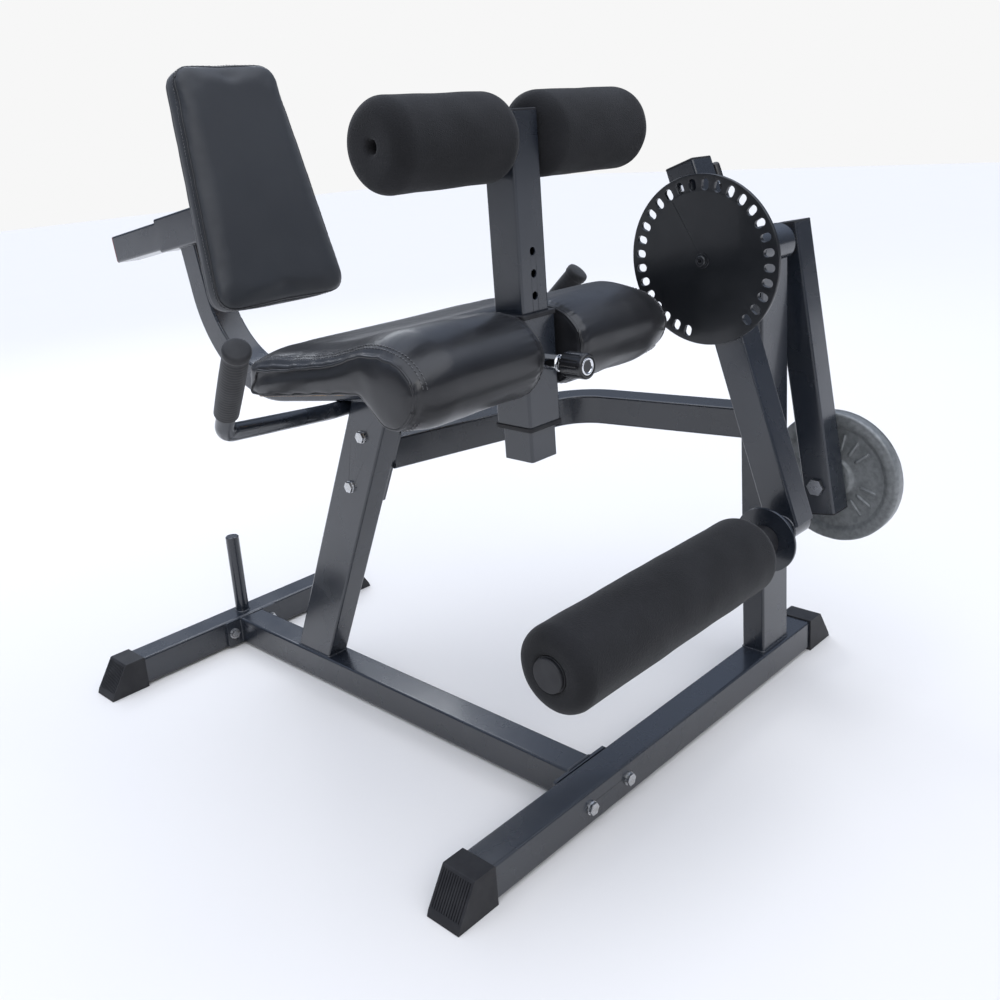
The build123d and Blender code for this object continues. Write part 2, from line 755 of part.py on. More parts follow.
def tube_cap(plane, size=bar):
    """Plastic cap that closes a square tube, standing on its end plane."""
    with BuildPart() as cap:
        with BuildSketch(plane):
            RectangleRounded(size, size, round_edge)
        extrude(amount=3)
        chamfer(cap.faces().sort_by(Axis(plane.origin, tuple(plane.z_dir)))[-1].edges(), 1)
        with BuildSketch(plane):
            RectangleRounded(size - 2 * wall - 0.4, size - 2 * wall - 0.4, 1)
        extrude(amount=-10)
    return cap.part


save(tube_cap(Plane((seat_x, post_y, roller_post_top))), "roller_post_cap")

# ---------------------------------------------------------------- thigh rollers
axle_end = thigh_outer - 20
save(rod(plane_x(seat_x - axle_end, post_y, thigh_z), thigh_axle_r, 2 * axle_end), "thigh_axle")


def foam_roller(x_start, x_end, y, z, bore, shoulder=24.0):
    """Foam cylinder with rounded shoulders and a bore for its axle."""
    with BuildPart() as foam:
        with BuildSketch(plane_x(x_start, y, z)):
            Circle(foam_r)
        extrude(amount=x_end - x_start)
        fillet(foam.edges(), shoulder)
        with BuildSketch(plane_x(x_start, y, z)):
            Circle(bore)
        extrude(amount=x_end - x_start, mode=Mode.SUBTRACT)
    return foam.part


thigh_bore_r = thigh_axle_r + 0.08
save(foam_roller(seat_x - thigh_outer, seat_x - thigh_inner, post_y, thigh_z, thigh_bore_r),
     "thigh_foam_left")
save(foam_roller(seat_x + thigh_inner, seat_x + thigh_outer, post_y, thigh_z, thigh_bore_r),
     "thigh_foam_right")

# ---------------------------------------------------------------- upright and main bearing
with BuildPart() as upright:
    with BuildSketch(Plane((upright_x, pivot_y, rail_top))):
        RectangleRounded(upright_width, upright_depth, round_edge)
        RectangleRounded(upright_width - 2 * wall, upright_depth - 2 * wall,
                         round_edge - wall * 0.8, mode=Mode.SUBTRACT)
    extrude(amount=pivot_z - rail_top)
    with BuildSketch(plane_x(upright_x - upright_width, pivot_y, pivot_z)):
        Circle(housing_r)
    extrude(amount=2 * upright_width, mode=Mode.SUBTRACT)
save(upright.part, "upright")

housing_start = upright_x - 44
housing_end = upright_x + 44
bearing_r = 21.0
save(rod(plane_x(housing_start, pivot_y, pivot_z), housing_r, housing_end - housing_start,
         bearing_r), "bearing_housing")


def flanged_bearing(x_face, direction):
    """Bronze bush that lines one end of the housing, with its flange outside."""
    face = Plane(origin=(x_face, pivot_y, pivot_z), x_dir=(0, 1, 0), z_dir=(direction, 0, 0))
    with BuildPart() as bearing:
        with BuildSketch(face):
            Circle(bearing_r + 4)
        extrude(amount=2)
        with BuildSketch(face):
            Circle(bearing_r - 0.02)
        extrude(amount=-20)
        with BuildSketch(face.offset(-21)):
            Circle(shaft_r + 0.05)
        extrude(amount=24, mode=Mode.SUBTRACT)
    return bearing.part


save(group([flanged_bearing(housing_start, -1), flanged_bearing(housing_end, 1)]),
     "shaft_bearings")

# ---------------------------------------------------------------- main shaft and spacers
disc_back = disc_x + disc_thick
collar_start = seat_x + 331
collar_end = seat_x + 362
collar_r = 22.0
weight_left = weight_arm_x - bar / 2
weight_right = weight_arm_x + bar / 2
shaft_start = disc_back + 2
shaft_end = weight_right + 3
with BuildPart() as main_shaft:
    with BuildSketch(plane_x(shaft_start, pivot_y, pivot_z)):
        Circle(shaft_r)
    extrude(amount=shaft_end - shaft_start)
    chamfer(main_shaft.faces().sort_by(Axis.X)[-1].edges(), 1)
    # tapped hole for the disc's centre bolt
    with BuildSketch(plane_x(shaft_start, pivot_y, pivot_z)):
        Circle(bolt_r + 0.05)
    extrude(amount=24, mode=Mode.SUBTRACT)
save(main_shaft.part, "main_shaft")
save(group([
    rod(plane_x(collar_end + 0.3, pivot_y, pivot_z), 18, housing_start - 2.6 - collar_end,
        shaft_r + 0.05),
    rod(plane_x(housing_end + 2.3, pivot_y, pivot_z), 20, weight_left - housing_end - 2.5,
        shaft_r + 0.05),
]), "shaft_spacers")

# ---------------------------------------------------------------- index disc and leg arm
with BuildPart() as index_disc:
    with BuildSketch(plane_x(disc_x, pivot_y, pivot_z)):
        Circle(disc_r)
        Circle(bolt_hole_r, mode=Mode.SUBTRACT)
        first_slot = selector_angle - slot_pitch * slots_before
        last_slot = selector_angle + slot_pitch * slots_after
        with PolarLocations(slot_ring_r, slots_before + slots_after + 1, start_angle=first_slot,
                            angular_range=last_slot - first_slot, endpoint=True):
            SlotOverall(slot_length, slot_width, mode=Mode.SUBTRACT)
    extrude(amount=disc_thick)
    chamfer(index_disc.edges().filter_by(GeomType.CIRCLE).filter_by(
        lambda edge: edge.radius > disc_r - 1), 0.8)
    # hub on the back of the disc, running on the shaft
    with BuildSketch(plane_x(disc_back, pivot_y, pivot_z)):
        Circle(19)
        Circle(shaft_r + 0.05, mode=Mode.SUBTRACT)
    extrude(amount=collar_start - disc_back - 0.5)
save(index_disc.part, "index_disc")

centre_bolt_plane = Plane(origin=(disc_x - 0.1, pivot_y, pivot_z), x_dir=(0, 1, 0), z_dir=(-1, 0, 0))
with BuildPart() as disc_bolt:
    with BuildSketch(centre_bolt_plane):
        Circle(11)
    extrude(amount=1.5)
    with BuildSketch(centre_bolt_plane.offset(1.5)):
        Circle(8)
    extrude(amount=5)
    fillet(disc_bolt.faces().sort_by(Axis.X)[0].edges(), 2.5)
    with BuildSketch(centre_bolt_plane.offset(6.5)):
        RegularPolygon(3, 6, major_radius=False)
    extrude(amount=-4, mode=Mode.SUBTRACT)
    with BuildSketch(centre_bolt_plane):
        Circle(bolt_r)
    extrude(amount=-(disc_thick + 20))
save(disc_bolt.part, "disc_bolt")

ankle_y, ankle_z = along(leg_angle, ankle_reach, pivot_y, pivot_z)
leg_x = disc_back          # left face of the leg arm
arm_gap = 26.0             # the arm starts this far from the shaft's axis


def radial_tube(x_left, angle, start, end, x_width=bar, thick=wall):
    """Square tube that points away from the shaft, in the YZ plane."""
    y, z = along(angle, start, pivot_y, pivot_z)
    base = Plane(origin=(x_left + x_width / 2, y, z), x_dir=(1, 0, 0),
                 z_dir=(0, cos(radians(angle)), sin(radians(angle))))
    return square_tube(base, x_width, bar, end - start, thick)


with BuildPart() as leg_arm:
    add(radial_tube(leg_x, leg_angle, arm_gap, ankle_reach))
    with BuildSketch(plane_x(leg_x - 1, ankle_y, ankle_z)):
        Circle(ankle_tube_r)
    extrude(amount=bar + 2, mode=Mode.SUBTRACT)
save(leg_arm.part, "leg_arm")

ankle_start = seat_x + ankle_left
ankle_end = leg_x + bar
save(rod(plane_x(ankle_start, ankle_y, ankle_z), ankle_tube_r, ankle_end - ankle_start,
         ankle_tube_r - 2.5), "ankle_tube")
save(rod(plane_x(seat_x + 255, ankle_y, ankle_z), 47, 4, ankle_tube_r + 0.02), "ankle_flange")


def round_cap(x_end, direction, radius, plug_r):
    """Domed plug in the end of a round tube."""
    face = Plane(origin=(x_end, ankle_y, ankle_z), x_dir=(0, 1, 0), z_dir=(direction, 0, 0))
    with BuildPart() as cap:
        with BuildSketch(face):
            Circle(radius)
        extrude(amount=3)
        fillet(cap.faces().sort_by(Axis(face.origin, (direction, 0, 0)))[-1].edges(), 1.5)
        with BuildSketch(face):
            Circle(plug_r)
        extrude(amount=-14)
    return cap.part


save(group([
    round_cap(ankle_start, -1, ankle_tube_r + 2, ankle_tube_r - 2.6),
    round_cap(ankle_end, 1, ankle_tube_r, ankle_tube_r - 2.6),
]), "ankle_tube_caps")

ankle_core_r = 22.0
foam_left = ankle_start + 2
foam_right = seat_x + 205
save(rod(plane_x(foam_left, ankle_y, ankle_z), ankle_core_r, seat_x + 254.5 - foam_left,
         ankle_tube_r + 0.05), "ankle_core")
save(foam_roller(foam_left, foam_right, ankle_y, ankle_z, ankle_core_r + 0.1, 18), "ankle_foam")

# ---------------------------------------------------------------- selector arm
selector_left = seat_x + 312
selector_reach = 140.0
pin_y, pin_z = along(selector_angle, slot_ring_r, pivot_y, pivot_z)
with BuildPart() as selector_arm:
    add(radial_tube(selector_left, selector_angle, collar_r - 3, selector_reach))
    with BuildSketch(plane_x(selector_left - 1, pivot_y, pivot_z)):
        Circle(collar_r + 1)
    extrude(amount=bar + 2, mode=Mode.SUBTRACT)
    with BuildSketch(plane_x(selector_left - 1, pin_y, pin_z)):
        Circle(pin_hole_r)
    extrude(amount=bar / 2, mode=Mode.SUBTRACT)
    with BuildSketch(plane_x(selector_left + bar / 2, pin_y, pin_z)):
        Circle(pin_housing_r + 0.05)
    extrude(amount=bar, mode=Mode.SUBTRACT)
save(selector_arm.part, "selector_arm")
save(rod(plane_x(collar_start, pivot_y, pivot_z), collar_r + 1, collar_end - collar_start,
         shaft_r + 0.02), "selector_collar")
selector_dir = (0, cos(radians(selector_angle)), sin(radians(selector_angle)))

# ---------------------------------------------------------------- weight arm, peg and plate
weight_y, weight_z = along(weight_angle, weight_reach, pivot_y, pivot_z)
weight_top = -25.0
weight_bottom = 450.0
with BuildPart() as weight_arm:
    add(radial_tube(weight_left, weight_angle, weight_top, weight_bottom))
    with BuildSketch(plane_x(weight_left - 1, pivot_y, pivot_z)):
        Circle(shaft_r + 0.02)
    extrude(amount=bar + 2, mode=Mode.SUBTRACT)
    with BuildSketch(plane_x(weight_left - 1, weight_y, weight_z)):
        Circle(peg_r + 0.02)
    extrude(amount=bar + 2, mode=Mode.SUBTRACT)
save(weight_arm.part, "weight_arm")

arm_ends = (
    (weight_arm_x, weight_angle + 180, -weight_top),
    (weight_arm_x, weight_angle, weight_bottom),
    (selector_left + bar / 2, selector_angle, selector_reach),
)
arm_caps = []
for x, angle, reach in arm_ends:
    point = along(angle, reach, pivot_y, pivot_z)
    arm_caps.append(tube_cap(Plane(
        origin=(x, *point), x_dir=(1, 0, 0),
        z_dir=(0, cos(radians(angle)), sin(radians(angle))))))
save(group(arm_caps), "arm_caps")

plate_start = weight_right + 5
with BuildPart() as weight_peg:
    with BuildSketch(plane_x(weight_left - 3, weight_y, weight_z)):
        Circle(peg_r)
    extrude(amount=weight_peg_end - weight_left + 3)
    chamfer(weight_peg.faces().sort_by(Axis.X)[-1].edges(), 1.5)
    # clip groove just outside the loaded plate
    with BuildSketch(plane_x(plate_start + plate_thick + 1.5, weight_y, weight_z)):
        Circle(peg_r + 1)
        Circle(peg_r - 1, mode=Mode.SUBTRACT)
    extrude(amount=2, mode=Mode.SUBTRACT)
    with BuildSketch(plane_x(weight_right, weight_y, weight_z)):
        Circle(22)
    extrude(amount=4.5)
    # hexagon head that clamps the peg against the arm
    with BuildSketch(plane_x(weight_left, weight_y, weight_z)):
        RegularPolygon(12.5, 6, major_radius=False)
    extrude(amount=-8)
save(weight_peg.part, "weight_peg")

plate_bore_r = 13.2
with BuildPart() as weight_plate:
    with BuildSketch(Plane(origin=(plate_start, weight_y, weight_z), x_dir=(1, 0, 0),
                           z_dir=(0, 1, 0))):
        # half section: local x runs along the axis, local y away from it
        with BuildLine():
            Polyline(
                (0, plate_bore_r), (0, 34), (5, 38), (5, 88), (0, 94), (0, plate_r - 3),
                (3, plate_r), (plate_thick - 3, plate_r), (plate_thick, plate_r - 3),
                (plate_thick, 94), (plate_thick - 5, 88), (plate_thick - 5, 38),
                (plate_thick, 34), (plate_thick, plate_bore_r), close=True,
            )
        make_face()
    revolve(axis=Axis((0, weight_y, weight_z), (1, 0, 0)), revolution_arc=360)
save(weight_plate.part, "weight_plate")


# ---------------------------------------------------------------- spring pins
def pin_housing(plane, length, radius=pin_housing_r):
    """Barrel that stands on the plane, open inside for the spring, with a closed nose."""
    with BuildPart() as housing:
        with BuildSketch(plane):
            Circle(radius)
        extrude(amount=length)
        with BuildSketch(plane):
            Circle(7)
        extrude(amount=length - 4, mode=Mode.SUBTRACT)
        with BuildSketch(plane.offset(length)):
            RegularPolygon(8.5, 6, major_radius=False)
        extrude(amount=5)
        with BuildSketch(plane.offset(length - 5)):
            Circle(3.6)
        extrude(amount=11, mode=Mode.SUBTRACT)
    return housing.part


def spring_pin(plane, inward, length, tail):
    """Plunger: a thick nose inside, a thin stem out through the housing to the knob."""
    with BuildPart() as pin:
        with BuildSketch(plane.offset(-inward)):
            Circle(pin_r)
        extrude(amount=inward + 8)
        chamfer(pin.edges().group_by(Axis(plane.origin, tuple(plane.z_dir)))[0], 1)
        with BuildSketch(plane.offset(8)):
            Circle(3.5)
        extrude(amount=length + tail - 8)
    return pin.part


def ball_knob(plane, length, radius):
    """Round pull knob with a grooved skirt and a recessed face."""
    with BuildPart() as knob:
        with BuildSketch(plane):
            Circle(radius)
        extrude(amount=length)
        fillet(knob.edges(), 3)
        with BuildSketch(plane.offset(2)):
            with PolarLocations(radius + 1.5, 12):
                Circle(2.6)
        extrude(amount=length - 9, mode=Mode.SUBTRACT)
        with BuildSketch(plane.offset(length)):
            Circle(radius - 4)
        extrude(amount=-2, mode=Mode.SUBTRACT)
        with BuildSketch(plane):
            Circle(3.55)
        extrude(amount=14, mode=Mode.SUBTRACT)
    return knob.part


# height pin, on the front of the roller post sleeve
height_length = 30.0
height_plane = plane_y(seat_x, post_y - sleeve_outer / 2, height_pin_z)
save(pin_housing(height_plane, height_length), "height_pin_housing")
save(spring_pin(height_plane, 14, height_length, 22), "height_pin")
knob_plane = height_plane.offset(height_length + 10)
save(ball_knob(knob_plane, 36, knob_r), "height_pin_knob")

# back pin, on the right side of the receiver
back_length = 26.0
back_pin_plane = plane_x(seat_x + receiver_outer / 2, back_pin_point.Y, back_pin_point.Z)
save(pin_housing(back_pin_plane, back_length), "back_pin_housing")
save(spring_pin(back_pin_plane, 14, back_length, 22), "back_pin")
save(ball_knob(back_pin_plane.offset(back_length + 8), 28, knob_r), "back_pin_knob")

# selector pin, through the selector arm into a slot of the disc
selector_length = 34.0
selector_plane = plane_x(selector_left + bar / 2, pin_y, pin_z)
save(pin_housing(selector_plane, selector_length + bar / 2 - 12), "selector_pin_housing")
selector_tail = selector_length + bar / 2 - 12
save(spring_pin(selector_plane, selector_left + bar / 2 - disc_back - 0.3, selector_tail, 20),
     "selector_pin")
with BuildPart() as selector_handle:
    grip_plane = selector_plane.offset(selector_tail + 13)
    with BuildSketch(grip_plane):
        Circle(9)
    extrude(amount=14)
    cross_plane = Plane(origin=grip_plane.offset(7).origin - Vector(*selector_dir) * 31,
                        z_dir=selector_dir)
    with BuildSketch(cross_plane):
        Circle(7)
    extrude(amount=62)
    fillet(selector_handle.edges().group_by(Axis(cross_plane.origin, selector_dir))[-1], 5)
    fillet(selector_handle.edges().group_by(Axis(cross_plane.origin, selector_dir))[0], 5)
    with BuildSketch(grip_plane):
        Circle(3.55)
    extrude(amount=12, mode=Mode.SUBTRACT)
save(selector_handle.part, "selector_handle")
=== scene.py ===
"""Looks of the leg extension machine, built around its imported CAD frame."""

import json
from math import atan2, cos, exp, hypot, pi, radians, sin, tau

import bmesh
import bpy
from mathutils import Matrix, Vector, noise
from mathutils.bvhtree import BVHTree


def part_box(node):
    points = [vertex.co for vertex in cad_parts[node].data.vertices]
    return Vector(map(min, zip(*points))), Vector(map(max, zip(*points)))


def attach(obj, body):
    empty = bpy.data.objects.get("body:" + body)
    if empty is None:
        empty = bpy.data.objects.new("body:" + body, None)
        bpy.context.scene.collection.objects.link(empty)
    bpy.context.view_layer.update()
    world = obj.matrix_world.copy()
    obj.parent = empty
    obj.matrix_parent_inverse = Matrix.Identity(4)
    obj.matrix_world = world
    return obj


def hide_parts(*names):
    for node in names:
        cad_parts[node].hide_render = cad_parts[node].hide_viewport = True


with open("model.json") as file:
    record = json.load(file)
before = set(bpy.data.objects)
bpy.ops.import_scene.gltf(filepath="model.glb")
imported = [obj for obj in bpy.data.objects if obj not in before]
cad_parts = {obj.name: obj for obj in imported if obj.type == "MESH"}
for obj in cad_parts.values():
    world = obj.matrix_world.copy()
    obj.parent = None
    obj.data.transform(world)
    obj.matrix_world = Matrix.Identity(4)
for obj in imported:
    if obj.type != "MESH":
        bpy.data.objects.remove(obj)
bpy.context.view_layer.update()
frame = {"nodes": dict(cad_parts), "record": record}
NODES = frame["nodes"]
BODY_OF = {node: body for body, members in frame["record"]["behaviour"]["bodies"].items()
           for node in members}
SLOT_OF = {item["node"]: item["material_slot"] for item in frame["record"]["subparts"]}
UP = Vector((0, 0, 1))
PIPING_SUNK = 0.0004       # how deep the piping sits in the cover, in metres like all lengths


# ---------------------------------------------------------------- materials
class Shader:
    """Short-hand for building one node material."""

    def __init__(self, name, color, roughness, metallic=0.0, coat=0.0, sheen=0.0, specular=0.5):
        self.material = bpy.data.materials.new(name)
        self.material.use_nodes = True
        self.tree = self.material.node_tree
        self.bsdf = self.tree.nodes["Principled BSDF"]
        self.coords = self.node("ShaderNodeTexCoord").outputs["Object"]
        self.color = self.rgb(color)
        self.put("Base Color", self.color)
        self.put("Roughness", roughness)
        self.put("Metallic", metallic)
        self.put("Coat Weight", coat)
        self.put("Coat Roughness", 0.12)
        self.put("Sheen Weight", sheen)
        self.put("Sheen Roughness", 0.5)
        self.put("Specular IOR Level", specular)
        self.roughness = roughness
        self.normal = None

    def node(self, kind, **values):
        made = self.tree.nodes.new(kind)
        for key, value in values.items():
            if hasattr(made, key):
                setattr(made, key, value)
            else:
                made.inputs[key.replace("_", " ")].default_value = value
        return made

    def rgb(self, color):
        made = self.node("ShaderNodeRGB")
        made.outputs[0].default_value = (*color, 1)
        return made.outputs[0]

    def put(self, socket, value):
        if isinstance(value, bpy.types.NodeSocket):
            self.tree.links.new(value, self.bsdf.inputs[socket])
        else:
            self.bsdf.inputs[socket].default_value = value

    def link(self, source, target):
        self.tree.links.new(source, target)

    def mapped(self, scale):
        made = self.node("ShaderNodeMapping")
        made.inputs["Scale"].default_value = scale if isinstance(scale, tuple) else (scale,) * 3
        self.link(self.coords, made.inputs["Vector"])
        return made.outputs[0]

    def noise(self, scale, detail=3.0, stretch=(1, 1, 1)):
        made = self.node("ShaderNodeTexNoise", Scale=scale, Detail=detail)
        self.link(self.mapped(tuple(stretch)), made.inputs["Vector"])
        return made.outputs["Fac"]

    def cells(self, scale, feature="F1", stretch=(1, 1, 1)):
        made = self.node("ShaderNodeTexVoronoi", Scale=scale)
        made.feature = feature
        self.link(self.mapped(tuple(stretch)), made.inputs["Vector"])
        return made.outputs["Distance"]

    def ramp(self, source, low, high, low_value=0.0, high_value=1.0):
        made = self.node("ShaderNodeMapRange")
        made.inputs["From Min"].default_value = low
        made.inputs["From Max"].default_value = high
        made.inputs["To Min"].default_value = low_value
        made.inputs["To Max"].default_value = high_value
        self.link(source, made.inputs["Value"])
        return made.outputs[0]

    def tint(self, factor, color):
        """Mixes another colour in by a factor."""
        made = self.node("ShaderNodeMix")
        made.data_type = "RGBA"
        self.link(factor, made.inputs["Factor"])
        self.link(self.color, made.inputs["A"])
        made.inputs["B"].default_value = (*color, 1)
        self.color = made.outputs["Result"]
        self.put("Base Color", self.color)
        return self

    def vary(self, source, low, high):
        """Lets the roughness wander between two values."""
        self.put("Roughness", self.ramp(source, 0.3, 0.7, low, high))
        return self

    def bump(self, height, distance, strength=1.0):
        made = self.node("ShaderNodeBump")
        made.inputs["Distance"].default_value = distance
        made.inputs["Strength"].default_value = strength
        self.link(height, made.inputs["Height"])
        if self.normal:
            self.link(self.normal, made.inputs["Normal"])
        self.normal = made.outputs[0]
        self.put("Normal", self.normal)
        return self

    def worn_edges(self, color, radius=0.0016, amount=0.55):
        """Lighter, rubbed edges, found from how far a rounded normal leans off the face."""
        bevel = self.node("ShaderNodeBevel", samples=4)
        bevel.inputs["Radius"].default_value = radius
        geometry = self.node("ShaderNodeNewGeometry")
        dot = self.node("ShaderNodeVectorMath", operation="DOT_PRODUCT")
        self.link(bevel.outputs[0], dot.inputs[0])
        self.link(geometry.outputs["Normal"], dot.inputs[1])
        mask = self.ramp(dot.outputs["Value"], 0.995, 0.86, 0.0, amount)
        patches = self.node("ShaderNodeMath", operation="MULTIPLY")
        self.link(mask, patches.inputs[0])
        self.link(self.ramp(self.noise(38.0, 4), 0.42, 0.6), patches.inputs[1])
        self.tint(patches.outputs[0], color)
        return self


def make_materials():
    """One procedural finish for each slot of the record, and a few for added pieces."""
    made = {}
    paint = Shader("powder_coat", (0.012, 0.015, 0.021), 0.26, coat=0.4, specular=0.65)
    paint.tint(paint.ramp(paint.noise(6.0, 2), 0.35, 0.7, 0, 0.5), (0.019, 0.024, 0.034))
    paint.worn_edges((0.09, 0.1, 0.12))
    paint.vary(paint.noise(14.0), 0.2, 0.32)
    paint.bump(paint.noise(520.0, 2), 0.0001, 0.35).bump(paint.noise(60.0, 1), 0.0002, 0.12)
    made["frame_paint"] = paint
    disc = Shader("disc_paint", (0.008, 0.009, 0.011), 0.34, coat=0.3, specular=0.5)
    disc.worn_edges((0.12, 0.12, 0.13), amount=0.7)
    disc.vary(disc.noise(22.0), 0.28, 0.42)
    disc.bump(disc.noise(600.0, 2), 0.0001, 0.3)
    made["disc_paint"] = disc
    plastic = Shader("moulded_plastic", (0.012, 0.012, 0.014), 0.55, specular=0.4)
    plastic.tint(plastic.ramp(plastic.noise(40.0), 0.4, 0.7, 0, 0.5), (0.03, 0.03, 0.032))
    plastic.bump(plastic.cells(900.0), 0.00012, 0.5)
    made["ribbed_plastic"] = plastic
    zinc = Shader("zinc_plate", (0.62, 0.63, 0.65), 0.26, metallic=1.0)
    zinc.tint(zinc.ramp(zinc.noise(130.0), 0.35, 0.7, 0, 0.6), (0.42, 0.41, 0.38))
    zinc.vary(zinc.noise(200.0), 0.18, 0.4)
    zinc.bump(zinc.noise(900.0), 0.00008, 0.3)
    made["zinc"] = zinc
    steel = Shader("turned_steel", (0.34, 0.35, 0.37), 0.3, metallic=1.0)
    steel.vary(steel.noise(90.0, 3, (9, 1, 1)), 0.2, 0.42)
    steel.tint(steel.ramp(steel.noise(30.0), 0.45, 0.7, 0, 0.4), (0.2, 0.2, 0.21))
    steel.bump(steel.noise(200.0, 2, (12, 1, 1)), 0.00008, 0.4)
    made["steel"] = steel
    chrome = Shader("chrome_plate", (0.75, 0.76, 0.78), 0.09, metallic=1.0)
    chrome.vary(chrome.noise(80.0), 0.05, 0.16)
    chrome.bump(chrome.noise(60.0), 0.00005, 0.1)
    made["chrome"] = chrome
    bronze = Shader("sintered_bronze", (0.38, 0.25, 0.1), 0.45, metallic=1.0)
    bronze.bump(bronze.cells(1500.0), 0.0001, 0.5)
    bronze.vary(bronze.noise(150.0), 0.35, 0.6)
    made["bronze"] = bronze
    vinyl = Shader("vinyl", (0.0075, 0.0076, 0.009), 0.34, sheen=0.05, coat=0.12, specular=0.5)
    vinyl.tint(vinyl.ramp(vinyl.noise(9.0, 2), 0.4, 0.75, 0, 0.6), (0.015, 0.015, 0.017))
    vinyl.vary(vinyl.noise(25.0), 0.28, 0.42)
    vinyl.bump(vinyl.noise(15.0, 2, (1, 1.6, 1)), 0.0009, 0.2)
    vinyl.bump(vinyl.cells(720.0, "DISTANCE_TO_EDGE"), 0.00022, 0.5)
    made["vinyl"] = vinyl
    # Back pad vinyl: the higher roughness is its real satin finish, but the lighter, bluer base
    # colour and its mottled tint are a painted reflection of the bright ceiling over the whole pad.
    satin_painted_reflection = Shader("satin_vinyl_painted_reflection", (0.017, 0.019, 0.023), 0.5, sheen=0.15, specular=0.5)
    satin_painted_reflection.tint(satin_painted_reflection.ramp(satin_painted_reflection.noise(9.0, 2), 0.4, 0.75, 0, 0.6), (0.023, 0.026, 0.031))
    satin_painted_reflection.vary(satin_painted_reflection.noise(25.0), 0.44, 0.56)
    satin_painted_reflection.bump(satin_painted_reflection.cells(720.0, "DISTANCE_TO_EDGE"), 0.0002, 0.5)
    made["satin_vinyl_painted_reflection"] = satin_painted_reflection
    foam = Shader("closed_cell_foam", (0.0095, 0.0095, 0.0105), 0.9, sheen=0.1, specular=0.22)
    foam.tint(foam.ramp(foam.noise(14.0, 4), 0.4, 0.7, 0, 0.6), (0.018, 0.018, 0.02))
    foam.bump(foam.noise(60.0, 3), 0.0005, 0.25).bump(foam.cells(620.0), 0.0006, 0.8)
    made["foam"] = foam
    rubber = Shader("grip_rubber", (0.012, 0.012, 0.013), 0.62, sheen=0.15, specular=0.35)
    rubber.tint(rubber.ramp(rubber.noise(50.0), 0.4, 0.7, 0, 0.5), (0.03, 0.03, 0.032))
    rubber.bump(rubber.cells(800.0), 0.0002, 0.5)
    made["grip_rubber"] = rubber
    wood = Shader("plywood", (0.42, 0.28, 0.15), 0.6)
    wood.tint(wood.ramp(wood.noise(26.0, 6, (1, 9, 9)), 0.35, 0.65), (0.26, 0.16, 0.08))
    wood.bump(wood.noise(60.0, 4, (1, 10, 10)), 0.0004, 0.5)
    made["plywood"] = wood
    red = Shader("red_plug", (0.24, 0.03, 0.02), 0.4, specular=0.5)
    red.tint(red.ramp(red.noise(60.0), 0.4, 0.7, 0, 0.5), (0.11, 0.02, 0.015))
    red.bump(red.cells(900.0), 0.0001, 0.4)
    made["red_plastic"] = red
    gloss = Shader("black_plastic", (0.01, 0.01, 0.011), 0.28, coat=0.2)
    gloss.vary(gloss.noise(70.0), 0.22, 0.42)
    gloss.bump(gloss.noise(500.0), 0.00008, 0.3)
    made["black_plastic"] = gloss
    iron = Shader("hammertone", (0.15, 0.158, 0.16), 0.4, metallic=0.3, coat=0.15)
    iron.tint(iron.ramp(iron.noise(120.0, 3), 0.35, 0.65), (0.21, 0.22, 0.22))
    iron.worn_edges((0.26, 0.26, 0.26), amount=0.6)
    iron.bump(iron.cells(300.0), 0.0003, 0.5).bump(iron.noise(70.0), 0.0006, 0.4)
    made["plate_iron"] = iron
    thread = Shader("thread", (0.03, 0.03, 0.033), 0.6, sheen=0.6)
    thread.tint(thread.ramp(thread.noise(300.0), 0.4, 0.7), (0.06, 0.06, 0.065))
    thread.bump(thread.noise(1500.0, 2, (1, 4, 1)), 0.0002, 0.6)
    made["thread"] = thread
    return {key: value.material for key, value in made.items()}


MATERIAL = make_materials()


# ---------------------------------------------------------------- mesh helpers
def new_object(name, mesh_builder, material, body):
    """Turns a bmesh into a smooth object that rides on a CAD body."""
    mesh = bpy.data.meshes.new(name)
    bmesh.ops.recalc_face_normals(mesh_builder, faces=mesh_builder.faces)
    mesh_builder.to_mesh(mesh)
    mesh_builder.free()
    made = bpy.data.objects.new(name, mesh)
    bpy.context.scene.collection.objects.link(made)
    made.data.materials.append(MATERIAL[material])
    mesh.shade_smooth()
    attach(made, body)
    return made


def lathe(builder, origin, axis, profile, segments=72, ripple=None):
    """Revolves (distance along the axis, radius) points about the axis."""
    axis = axis.normalized()
    side = axis.orthogonal().normalized()
    other = axis.cross(side)
    rings = []
    for along, radius in profile:
        ring = []
        for k in range(segments):
            angle = tau * k / segments
            r = radius + (ripple(along, radius, angle) if ripple else 0.0)
            ring.append(builder.verts.new(
                origin + axis * along + (side * cos(angle) + other * sin(angle)) * r))
        rings.append(ring)
    for low, high in zip(rings, rings[1:]):
        for k in range(segments):
            builder.faces.new((low[k], low[(k + 1) % segments], high[(k + 1) % segments], high[k]))
    for ring in (rings[0], rings[-1]):
        builder.faces.new(ring)


def tube(builder, points, radius, closed, sides=8):
    """Round cord along points; radius may be a function of the point's number."""
    count = len(points)
    rings = []
    for k, point in enumerate(points):
        before = points[(k - 1) % count] if closed or k else point
        after = points[(k + 1) % count] if closed or k < count - 1 else point
        run = (after - before).normalized()
        side = run.cross(UP if abs(run.z) < 0.9 else Vector((1, 0, 0))).normalized()
        other = run.cross(side)
        r = radius(k) if callable(radius) else radius
        rings.append([builder.verts.new(
            point + (side * cos(tau * s / sides) + other * sin(tau * s / sides)) * r)
            for s in range(sides)])
    spans = zip(rings, rings[1:] + rings[:1]) if closed else zip(rings, rings[1:])
    for low, high in spans:
        for s in range(sides):
            builder.faces.new((low[s], low[(s + 1) % sides], high[(s + 1) % sides], high[s]))
    if not closed:
        builder.faces.new(rings[0])
        builder.faces.new(rings[-1])


